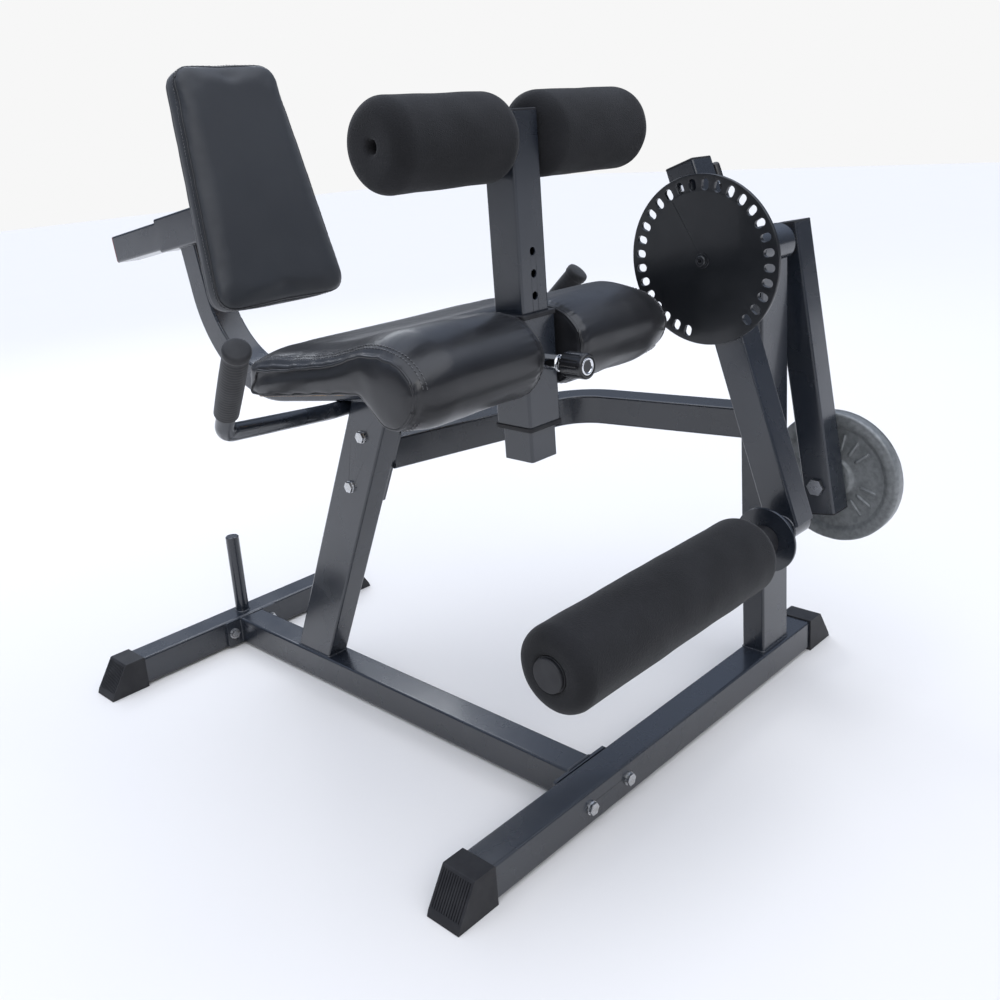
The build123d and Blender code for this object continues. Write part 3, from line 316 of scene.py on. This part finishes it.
def resample(points, step, closed=True):
    """Points at even steps along a polyline."""
    line = points + points[:1] if closed else points
    lengths = [(b - a).length for a, b in zip(line, line[1:])]
    total = sum(lengths)
    count = max(4, int(round(total / step)))
    result = []
    part = 0
    start = 0.0
    for k in range(count if closed else count + 1):
        target = total * k / count
        while part < len(lengths) - 1 and start + lengths[part] < target:
            start += lengths[part]
            part += 1
        share = (target - start) / max(lengths[part], 1e-9)
        result.append(line[part].lerp(line[part + 1], min(1.0, share)))
    return result


def hull(points):
    """Convex hull of 2D points, anticlockwise."""
    ordered = sorted(set(points))

    def half(sequence):
        chain = []
        for p in sequence:
            while len(chain) > 1 and (
                    (chain[-1][0] - chain[-2][0]) * (p[1] - chain[-2][1])
                    - (chain[-1][1] - chain[-2][1]) * (p[0] - chain[-2][0])) <= 0:
                chain.pop()
            chain.append(p)
        return chain[:-1]

    return half(ordered) + half(ordered[::-1])


def end_loop(node, direction):
    """Outline of a node's extreme end in a direction."""
    direction = Vector(direction).normalized()
    side = direction.orthogonal().normalized()
    other = direction.cross(side)
    points = [v.co.copy() for v in NODES[node].data.vertices]
    reach = max(p.dot(direction) for p in points)
    flat = [(round(p.dot(side), 6), round(p.dot(other), 6)) for p in points
            if p.dot(direction) > reach - 0.0008]
    return [side * a + other * b + direction * reach for a, b in hull(flat)]


def weld_bead(name, loop, body, radius=0.0022):
    """Rippled bead of weld metal around a joint, under the paint."""
    builder = bmesh.new()
    points = resample(loop, 0.0011)
    tube(builder, points,
         lambda k: radius * (0.86 + 0.16 * abs(sin(k * 0.9)) + 0.1 * noise.noise(points[k] * 300)),
         True, 8)
    new_object(name, builder, "frame_paint", body)


def piping(name, points, radius, body, closed=True):
    """Covered cord along a seam."""
    builder = bmesh.new()
    tube(builder, resample(points, 0.003, closed), radius, closed, 8)
    new_object(name, builder, "vinyl", body)


def stitches(name, points, normals, body, length=0.0036, gap=0.0017):
    """A run of short raised thread stitches along a seam, pressed into the cover."""
    builder = bmesh.new()
    walked = 0.0
    for a, b, normal in zip(points, points[1:], normals):
        step = (b - a).length
        if walked % (length + gap) + step > length + gap:
            run = (b - a).normalized()
            middle = a + normal * 0.0003
            ends = [middle + run * (length * t) + normal * (0.0007 * (1 - abs(2 * t - 1) ** 3))
                    for t in (0, 0.25, 0.5, 0.75, 1)]
            tube(builder, ends, lambda k: 0.00055 if 0 < k < 4 else 0.00035, False, 6)
        walked += step
    new_object(name, builder, "thread", body)


# ---------------------------------------------------------------- CAD nodes that stay shown
def finish_cad_nodes():
    """Gives every CAD node its procedural finish and softly rounded, smoothly shaded edges."""
    for name, node in NODES.items():
        slot = "disc_paint" if name in ("index_disc", "disc_bolt") else SLOT_OF[name]
        node.data.materials.clear()
        node.data.materials.append(MATERIAL[slot])
        node.data.polygons.foreach_set("use_smooth", [True] * len(node.data.polygons))
        weld = node.modifiers.new("weld", "WELD")
        weld.merge_threshold = 0.00001
        bevel = node.modifiers.new("bevel", "BEVEL")
        bevel.width = 0.0005
        bevel.segments = 2
        bevel.angle_limit = radians(35)
        flatten = node.modifiers.new("flatten", "WEIGHTED_NORMAL")
        flatten.weight = 100
        flatten.keep_sharp = True


finish_cad_nodes()


# ---------------------------------------------------------------- upholstery
def simulate(source, voxel, pressure, cap, hold):
    """Copies a CAD pad, fills it like a cushion with cloth, and caps how far each point moves.

    hold(point) is 1 where the cover is stapled down and 0 where it is free.
    """
    mesh = source.data.copy()
    pad = bpy.data.objects.new(source.name + "_cover", mesh)
    bpy.context.scene.collection.objects.link(pad)
    bpy.context.view_layer.objects.active = pad
    for selected in bpy.context.selected_objects:
        selected.select_set(False)
    pad.select_set(True)
    remesh = pad.modifiers.new("remesh", "REMESH")
    remesh.mode = "VOXEL"
    remesh.voxel_size = voxel
    bpy.ops.object.modifier_apply(modifier="remesh")
    relax = pad.modifiers.new("relax", "SMOOTH")
    relax.factor = 0.5
    relax.iterations = 4
    bpy.ops.object.modifier_apply(modifier="relax")
    rest = [v.co.copy() for v in pad.data.vertices]
    group = pad.vertex_groups.new(name="stapled")
    for index, point in enumerate(rest):
        group.add([index], hold(point), "REPLACE")
    cloth = pad.modifiers.new("cloth", "CLOTH")
    settings = cloth.settings
    settings.quality = 5
    settings.mass = 0.4
    settings.tension_stiffness = 25
    settings.compression_stiffness = 25
    settings.bending_stiffness = 3
    settings.shear_stiffness = 12
    settings.use_pressure = True
    settings.uniform_pressure_force = pressure
    settings.vertex_group_mass = "stapled"
    settings.effector_weights.gravity = 0
    cloth.point_cache.frame_start = 1
    cloth.point_cache.frame_end = 20
    for number in range(1, 21):
        bpy.context.scene.frame_set(number)
    bpy.ops.object.modifier_apply(modifier="cloth")
    for vertex, start in zip(pad.data.vertices, rest):
        move = vertex.co - start
        if move.length > 1e-9:
            free = 1 - hold(start)
            vertex.co = start + move.normalized() * min(move.length, cap) * free
    settle = pad.modifiers.new("settle", "SMOOTH")
    settle.factor = 0.5
    settle.iterations = 10
    bpy.ops.object.modifier_apply(modifier="settle")
    return pad


def refine(pad, crease, cover="vinyl"):
    """One subdivision, then seams and creases pressed in along the normals."""
    subdivide = pad.modifiers.new("subdivide", "SUBSURF")
    subdivide.levels = 1
    bpy.context.view_layer.objects.active = pad
    bpy.ops.object.modifier_apply(modifier="subdivide")
    normals = [v.normal.copy() for v in pad.data.vertices]
    for vertex, normal in zip(pad.data.vertices, normals):
        vertex.co += normal * crease(vertex.co, normal)
    pad.data.materials.clear()
    pad.data.materials.append(MATERIAL[cover])
    pad.data.shade_smooth()


def surface_loop(pad, directions, centre, reach, count, lift, arc=(0.0, tau)):
    """Points on a pad's surface around a centre, in the plane of two directions, and the rays
    that found them, which point outwards."""
    tree = BVHTree.FromObject(pad, bpy.context.evaluated_depsgraph_get())
    across, upwards = directions
    points = []
    rays = []
    for k in range(count):
        angle = arc[0] + (arc[1] - arc[0]) * k / count
        ray = across * cos(angle) + upwards * sin(angle)
        hit = tree.ray_cast(centre + ray * reach, -ray)[0]
        if hit is not None:
            points.append(hit + ray * lift)
            rays.append(ray)
    return points, rays


def build_seat_pad():
    """Seat pad: a filled cover with a rolled front, piped ends and double stitching."""
    low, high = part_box("seat_pad")
    middle = (low + high) / 2
    post_low, post_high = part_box("roller_post_sleeve")
    board_low, board_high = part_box("seat_board")
    half = (high.x - low.x) / 2
    board_thick = 0.013
    slope = (board_high.z - board_low.z - board_thick) / (board_high.y - board_low.y)

    def under(y):
        """Height of the stapled underside, just above the board."""
        return board_low.z + (board_high.y - y) * slope + board_thick + 0.001

    def hold(point):
        flat = 1.0 if point.y > post_high.y and point.z < under(point.y) else 0.0
        near_post = 1.0 if (abs(point.x - middle.x) < 0.04 and point.y < post_high.y + 0.02) else 0.0
        return max(flat, near_post)

    pad = simulate(NODES["seat_pad"], 0.0055, 3.0, 0.005, hold)
    # the cover slopes down towards its two ends: on the flat part towards the board, and on
    # the roll towards the roll's middle
    round_off = 0.06
    most_squeeze = 0.27
    roll_y = low.y + 0.062
    roll_z = low.z + 0.038
    roll_fade = 0.065
    for vertex in pad.data.vertices:
        inset = max(half - abs(vertex.co.x - middle.x), 0.0)
        squeeze = most_squeeze * max(1 - inset / round_off, 0.0) ** 1.6
        blend = min(max((roll_y + roll_fade - vertex.co.y) / roll_fade, 0.0), 1.0)
        spine_y = max(vertex.co.y, roll_y)
        spine_z = under(vertex.co.y) * (1 - blend) + roll_z * blend
        vertex.co.y += (spine_y - vertex.co.y) * squeeze
        vertex.co.z += (spine_z - vertex.co.z) * squeeze
    notch = (post_high.x - post_low.x) / 2 + 0.005
    centre = Vector((middle.x, post_high.y + 0.01, middle.z - 0.005))

    seam_inset = 0.009
    seam_depth = 0.0011
    seam_width = 0.0024
    pucker_pitch = 0.019
    pucker_depth = 0.00045
    pucker_inset = 0.012
    wave_depth = 0.0007

    def crease(point, normal):
        """Grooves beside the seams, small puckers along them and slow waves everywhere."""
        out = half - abs(point.x - middle.x)
        inward = abs(point.x - middle.x) - notch if point.y < post_high.y + 0.012 else 1.0
        edge = min(abs(out - seam_inset), abs(inward - seam_inset) if inward < 0.05 else 1.0)
        groove = -seam_depth * exp(-(edge / seam_width) ** 2) if abs(normal.x) < 0.8 else 0.0
        angle = atan2(point.z - centre.z, point.y - centre.y)
        around = hypot(point.z - centre.z, point.y - centre.y) * angle
        puckers = pucker_depth * sin(around * tau / pucker_pitch + 3 * noise.noise(point * 22))
        away = abs(min(out, max(inward, 0.0)) - pucker_inset)
        fade = exp(-away / seam_inset) * (1 - abs(normal.x)) ** 2
        waves = wave_depth * noise.noise(Vector((point.x * 9, point.y * 24, point.z * 24)))
        return groove + puckers * fade + waves * (1 if abs(normal.x) < 0.7 else 0.4)

    refine(pad, crease)
    pad.name = "seat_pad_cover"
    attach(pad, "frame")
    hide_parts("seat_pad")
    along = Vector((0, 1, 0))
    for side, label in ((-1, "left"), (1, "right")):
        outer_x = middle.x + side * (half - seam_inset / 2)
        place = Vector((outer_x, centre.y, centre.z))
        points, _ = surface_loop(pad, (along, UP), place, 0.7, 900, -PIPING_SUNK)
        piping("seat_piping_" + label, points, 0.0021, "frame")
        for number, inset in enumerate((0.014, 0.0185)):
            place = Vector((middle.x + side * (half - inset), centre.y, centre.z))
            points, rays = surface_loop(pad, (along, UP), place, 0.7, 1800, 0.0,
                                        (-0.9 * pi, 0.96 * pi))
            stitches(f"seat_stitching_{label}_{number + 1}", points, rays, "frame")
        inner_x = middle.x + side * (notch + 0.0035)
        place = Vector((inner_x, centre.y - 0.05, centre.z + 0.005))
        points, _ = surface_loop(pad, (along, UP), place, 0.3, 500, -PIPING_SUNK,
                                 (0.3 * pi, 1.42 * pi))
        piping("notch_piping_" + label, points, 0.0019, "frame", False)


def build_back_pad():
    """Back pad: a tapered, filled panel with a welted border and a line of stitching."""
    node = NODES["back_pad"]
    low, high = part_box("back_pad")
    points = [v.co.copy() for v in node.data.vertices]
    tilt = radians(14.36)
    face = Vector((0, -cos(tilt), sin(tilt)))
    rise = Vector((0, sin(tilt), cos(tilt)))
    base = min(p.dot(rise) for p in points)
    top = max(p.dot(rise) for p in points)
    out = max(p.dot(face) for p in points)
    back = min(p.dot(face) for p in points)
    middle_x = (low.x + high.x) / 2
    centre_height = (base + top) / 2

    stapled_depth = 0.015      # of the cover, round the board at the back

    def hold(point):
        return 1.0 if point.dot(face) < back + stapled_depth else 0.0

    pad = simulate(node, 0.005, 2.0, 0.0035, hold)

    welt_depth = 0.015
    rear_seam_depth = 0.036
    groove_width = 0.0022

    def crease(point, normal):
        """Grooves at the two seams round the sides, puckers by the front one, slow waves."""
        depth = out - point.dot(face)
        side = abs(normal.dot(face)) < 0.85
        welt = -0.0012 * exp(-((depth - welt_depth) / groove_width) ** 2) if side else 0.0
        rear = -0.001 * exp(-((depth - rear_seam_depth) / groove_width) ** 2) if side else 0.0
        angle = atan2(point.dot(rise) - centre_height, point.x - middle_x)
        puckers = sin(angle * 150 + 4 * noise.noise(point * 20))
        fade = exp(-abs(depth - 0.013) / 0.006) if side else 0.0
        waves = 0.0004 * noise.noise(point * 13)
        return welt + rear + 0.00025 * puckers * fade + waves

    # The back pad's cover takes the vinyl whose lighter base colour is a painted reflection of the
    # ceiling.
    refine(pad, crease, "satin_vinyl_painted_reflection")
    pad.name = "back_pad_cover"
    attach(pad, "back_slide")
    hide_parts("back_pad")
    across = Vector((1, 0, 0))
    centre = Vector((middle_x, 0, 0)) + rise * centre_height + face * out

    def around(depth):
        return surface_loop(pad, (across, rise), centre - face * depth, 0.5, 2600, 0.0)

    piping("back_piping", around(welt_depth - 0.0025)[0], 0.0019, "back_slide")
    points, rays = around(welt_depth + 0.0025)
    stitches("back_stitching", points, rays, "back_slide")


def build_foam(node, bore, shoulder, dish, seed):
    """Foam roller turned with soft shoulders, dished ends and a slightly uneven skin."""
    low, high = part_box(node)
    radius = (high.z - low.z) / 2
    origin = Vector((low.x, (low.y + high.y) / 2, (low.z + high.z) / 2))
    length = high.x - low.x
    profile = [(0.03, bore), (dish, bore), (dish * 0.5, bore + 0.0006),
               (dish * 0.15, bore + 0.002), (0.0, bore + 0.005)]
    steps = 14
    for k in range(steps + 1):
        angle = pi / 2 * k / steps
        profile.append((shoulder * (1 - cos(angle)),
                        radius - shoulder + shoulder * sin(angle)))
    first = [(max(a, 0.0), r) for a, r in profile]
    body_steps = int(length / 0.006)
    mid = [(shoulder + (length - 2 * shoulder) * k / body_steps, radius)
           for k in range(1, body_steps)]
    last = [(length - a, r) for a, r in first[::-1]]

    def uneven(along, r, angle):
        point = Vector((along * 26 + seed, cos(angle) * 1.7, sin(angle) * 1.7))
        return 0.0008 * noise.noise(point) * (1 if r > bore + 0.01 else 0)

    builder = bmesh.new()
    lathe(builder, origin, Vector((1, 0, 0)), first + mid + last, 112, uneven)
    made = new_object(node + "_skin", builder, "foam", BODY_OF[node])
    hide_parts(node)


def build_grip(node):
    """Rubber grip with shallow rings and a rolled, closed end."""
    points = [v.co.copy() for v in NODES[node].data.vertices]
    centre = sum(points, Vector()) / len(points)
    side = 1 if centre.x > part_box("seat_frame")[0].x else -1
    axis = Vector((side * 0.1958, -0.6582, 0.7269))      # from the grip's foot to its closed end
    ends = [p.dot(axis) for p in points]
    length = max(ends) - min(ends)
    ring = [p - axis * p.dot(axis) for p in points]
    middle = (Vector([min(p[i] for p in ring) for i in range(3)])
              + Vector([max(p[i] for p in ring) for i in range(3)])) / 2
    origin = middle + axis * (min(ends) - middle.dot(axis))
    profile = [(0.0, 0.0128), (0.0, 0.0156), (0.0008, 0.0162)]
    count = int((length - 0.02) / 0.0009)
    for k in range(count):
        t = 0.002 + (length - 0.016) * k / count
        swell = 0.0006 * sin(pi * t / length)
        profile.append((t, 0.0162 + swell + 0.00012 * sin(t * tau / 0.0052)))
    profile += [(length - 0.013, 0.0166), (length - 0.0115, 0.0178), (length - 0.009, 0.0181),
                (length - 0.004, 0.018), (length - 0.0015, 0.0168), (length - 0.0004, 0.0135),
                (length, 0.006)]
    builder = bmesh.new()
    lathe(builder, origin, axis, profile, 56)
    made = new_object(node + "_sleeve", builder, "grip_rubber", "frame")
    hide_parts(node)


def build_weight_plate():
    """Cast plate: raised rim and hub, with short raised ribs between them."""
    low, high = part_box("weight_plate")
    radius = (high.z - low.z) / 2
    thick = high.x - low.x
    origin = Vector((low.x, (low.y + high.y) / 2, (low.z + high.z) / 2))
    bore = 0.0132
    web = 0.0052               # depth of the recess between the hub and the rim
    half_profile = [(0.0, bore), (0.0, 0.029), (0.001, 0.0315), (0.0045, 0.0345), (web, 0.037),
                    (web, 0.05), (web, 0.086), (0.0045, 0.0885), (0.001, 0.0925),
                    (0.0, 0.095), (0.0, 0.107), (0.0008, 0.1098), (0.0028, radius - 0.0003)]
    other_half = [(thick - a, r) for a, r in half_profile[::-1]]
    builder = bmesh.new()
    lathe(builder, origin, Vector((1, 0, 0)),
          half_profile + [(0.006, radius), (thick / 2, radius)] + other_half, 160,
          lambda a, r, angle: 0.0003 * noise.noise(Vector((a * 80, cos(angle) * 9 * r * 10,
                                                          sin(angle) * 9 * r * 10))))
    for face_x in (web, thick - web):
        for quarter in range(4):
            for k in range(3):
                angle = 0.25 + quarter * pi / 2 + 0.32 * k
                points = []
                for t in range(9):
                    r = 0.047 + 0.031 * t / 8
                    points.append(origin + Vector((face_x, cos(angle) * r, sin(angle) * r)))
                tube(builder, points, lambda s: 0.003 if 0 < s < 8 else 0.0015, False, 10)
    made = new_object("weight_plate_casting", builder, "plate_iron", "weight_plate")
    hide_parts("weight_plate")


def build_small_details():
    """Weld beads, and the bright ring in the face of the height pin's knob."""
    seat_slope = radians(7.46)
    slide_slope = radians(9.54)
    lean = (0, sin(seat_slope), cos(seat_slope))
    welds = (("seat_post", (0, 0, -1)), ("seat_post", lean), ("upright", (0, 0, -1)),
             ("seat_frame", (0, -1, 0)), ("seat_frame", (0, sin(slide_slope), cos(slide_slope))),
             ("cross_beam", (0, -1, 0)), ("base_rail", (0, -1, 0)), ("base_rail", (0, 1, 0)),
             ("storage_peg", (0, 0, -1)))
    for number, (node, direction) in enumerate(welds):
        weld_bead(f"weld_{number + 1}_{node}", end_loop(node, direction), "frame")
    low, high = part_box("ankle_tube")
    ring_centre = Vector((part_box("leg_arm")[0].x, (low.y + high.y) / 2, (low.z + high.z) / 2))
    ring = [ring_centre + Vector((0, cos(tau * k / 60), sin(tau * k / 60))) * 0.0195
            for k in range(60)]
    weld_bead("weld_ankle_tube", ring, "leg", 0.0026)
    low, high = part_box("height_pin_knob")
    middle = (low + high) / 2
    face = Vector((middle.x, low.y + 0.0012, middle.z))
    builder = bmesh.new()
    lathe(builder, face + Vector((0, 0.0012, 0)), Vector((0, -1, 0)),
          [(0.0, 0.0075), (0.0, 0.0115), (0.0012, 0.0118), (0.0018, 0.0112), (0.002, 0.0098),
           (0.0016, 0.0082), (0.0, 0.0076)], 56)
    new_object("knob_bright_ring", builder, "chrome", "height_pin")


build_seat_pad()
build_back_pad()
build_foam("thigh_foam_left", 0.0083, 0.023, 0.005, 3.0)
build_foam("thigh_foam_right", 0.0083, 0.023, 0.005, 7.0)
build_foam("ankle_foam", 0.0222, 0.019, 0.003, 11.0)
build_grip("grip_left")
build_grip("grip_right")
build_weight_plate()
build_small_details()


# ---------------------------------------------------------------- stage, light and camera
def build_stage():
    """Plain pale floor under a soft white studio."""
    mesh = bpy.data.meshes.new("studio_floor")
    builder = bmesh.new()
    bmesh.ops.create_grid(builder, x_segments=8, y_segments=8, size=14)
    builder.to_mesh(mesh)
    builder.free()
    ground = bpy.data.objects.new("studio_floor", mesh)
    bpy.context.scene.collection.objects.link(ground)
    ground.location.z = -0.0006
    pale = Shader("studio_paper", (0.8, 0.775, 0.745), 0.95, specular=0.0)
    pale.tint(pale.ramp(pale.noise(3.0), 0.4, 0.7, 0, 0.3), (0.79, 0.765, 0.735))
    pale.bump(pale.noise(250.0), 0.0002, 0.1)
    ground.data.materials.append(pale.material)
    world = bpy.data.worlds.new("studio")
    bpy.context.scene.world = world
    world.use_nodes = True
    tree = world.node_tree
    shade = tree.nodes["Background"]
    seen = tree.nodes.new("ShaderNodeBackground")
    seen.inputs["Color"].default_value = (0.93, 0.93, 0.93, 1)
    seen.inputs["Strength"].default_value = 1.0
    coords = tree.nodes.new("ShaderNodeTexCoord")
    split = tree.nodes.new("ShaderNodeSeparateXYZ")
    ramp = tree.nodes.new("ShaderNodeValToRGB")
    ramp.color_ramp.elements[0].position = 0.02
    ramp.color_ramp.elements[0].color = (0.07, 0.072, 0.08, 1)
    ramp.color_ramp.elements[1].position = 0.8
    ramp.color_ramp.elements[1].color = (0.55, 0.66, 0.9, 1)
    middle = ramp.color_ramp.elements.new(0.3)
    middle.color = (0.2, 0.23, 0.29, 1)
    tree.links.new(coords.outputs["Generated"], split.inputs[0])
    tree.links.new(split.outputs["Z"], ramp.inputs[0])
    tree.links.new(ramp.outputs[0], shade.inputs["Color"])
    shade.inputs["Strength"].default_value = 1.0
    path = tree.nodes.new("ShaderNodeLightPath")
    mix = tree.nodes.new("ShaderNodeMixShader")
    tree.links.new(path.outputs["Is Camera Ray"], mix.inputs[0])
    tree.links.new(shade.outputs[0], mix.inputs[1])
    tree.links.new(seen.outputs[0], mix.inputs[2])
    tree.links.new(mix.outputs[0], tree.nodes["World Output"].inputs["Surface"])


def sun_light(name, direction, angle, power, color):
    """Even, soft light from a wide part of the ceiling."""
    data = bpy.data.lights.new(name, "SUN")
    data.angle = radians(angle)
    data.energy = power
    data.color = color
    lamp = bpy.data.objects.new(name, data)
    bpy.context.scene.collection.objects.link(lamp)
    lamp.rotation_euler = Vector(direction).to_track_quat("-Z", "Y").to_euler()


def area_light(name, place, target, size, power, color):
    data = bpy.data.lights.new(name, "AREA")
    data.shape = "RECTANGLE"
    data.size = size[0]
    data.size_y = size[1]
    data.energy = power
    data.color = color
    lamp = bpy.data.objects.new(name, data)
    bpy.context.scene.collection.objects.link(lamp)
    lamp.location = place
    lamp.rotation_euler = (Vector(target) - Vector(place)).to_track_quat("-Z", "Y").to_euler()


def build_camera():
    """Camera at the machine's front left, a little above seat height."""
    azimuth = radians(-45.7512)
    elevation = radians(15.3374)
    roll = radians(-4.1047)
    back = Vector((sin(azimuth) * cos(elevation), -cos(azimuth) * cos(elevation), sin(elevation)))
    forward = -back
    level = forward.cross(UP).normalized()
    over = level.cross(forward)
    right = level * cos(roll) + over * sin(roll)
    above = over * cos(roll) - level * sin(roll)
    data = bpy.data.cameras.new("camera")
    data.sensor_width = 36.0
    data.lens = 37.911
    data.shift_x = -0.00356
    data.shift_y = -0.0840
    data.clip_end = 100
    camera = bpy.data.objects.new("camera", data)
    bpy.context.scene.collection.objects.link(camera)
    turn = Matrix((right, above, back)).transposed().to_4x4()
    camera.matrix_world = Matrix.Translation((-1.162685, -1.300409, 0.927769)) @ turn
    bpy.context.scene.camera = camera


build_stage()
sun_light("ceiling", (0.12, 0.3, -1), 95, 2.3, (1.0, 1.0, 1.0))
area_light("front_panel", (-2.2, -2.9, 1.9), (0, 0, 0.6), (1.2, 1.2), 15, (1.0, 0.99, 0.97))
area_light("rear_panel", (1.2, 2.8, 2.6), (0, 0, 0.7), (2.2, 1.0), 26, (0.93, 0.96, 1.0))
build_camera()
bpy.context.scene.view_settings.view_transform = "Standard"

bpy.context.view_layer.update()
